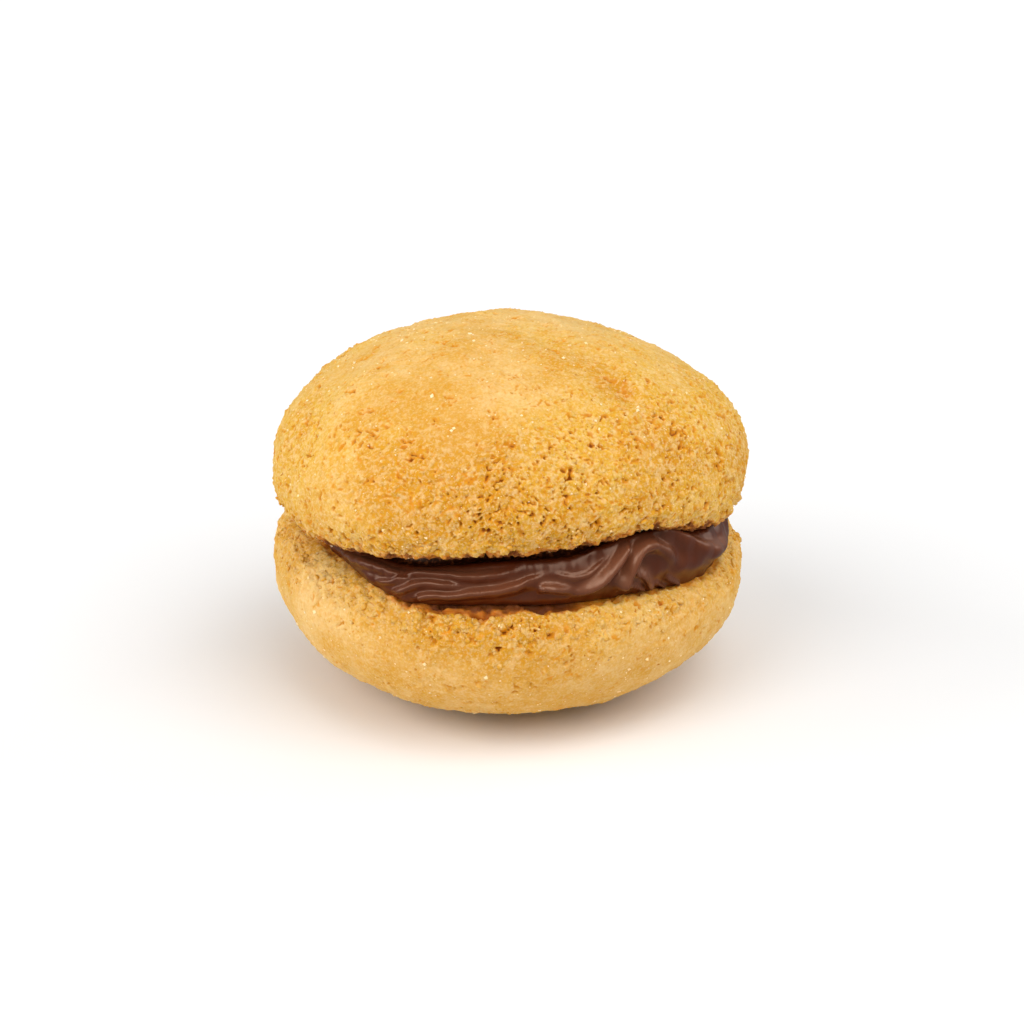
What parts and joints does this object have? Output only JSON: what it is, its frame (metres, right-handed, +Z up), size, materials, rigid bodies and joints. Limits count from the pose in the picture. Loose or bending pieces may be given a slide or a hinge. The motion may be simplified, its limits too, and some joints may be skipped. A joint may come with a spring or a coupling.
{
  "type": "baci di dama sandwich biscuit",
  "caption": "Round sandwich biscuit of domed crumbly halves, their flat faces joined by a folded layer of chocolate hazelnut cream.",
  "frame": {"origin": "middle of the bounding box at its base, under the flat spot that the biscuit rests on", "axes": "+Z up through both halves, front with the open arc of cream towards -Y, +X to the right of the front"},
  "size_m": [0.0348, 0.0354, 0.0272],
  "materials": {
    "biscuit_crumb": "matte, grainy golden baked crumb",
    "hazelnut_cream": "satin, smooth and folded milk-chocolate brown"
  },
  "bodies": {
    "root": {"bottom_biscuit": "biscuit_crumb", "filling": "hazelnut_cream", "top_biscuit": "biscuit_crumb"}
  },
  "joints": []
}
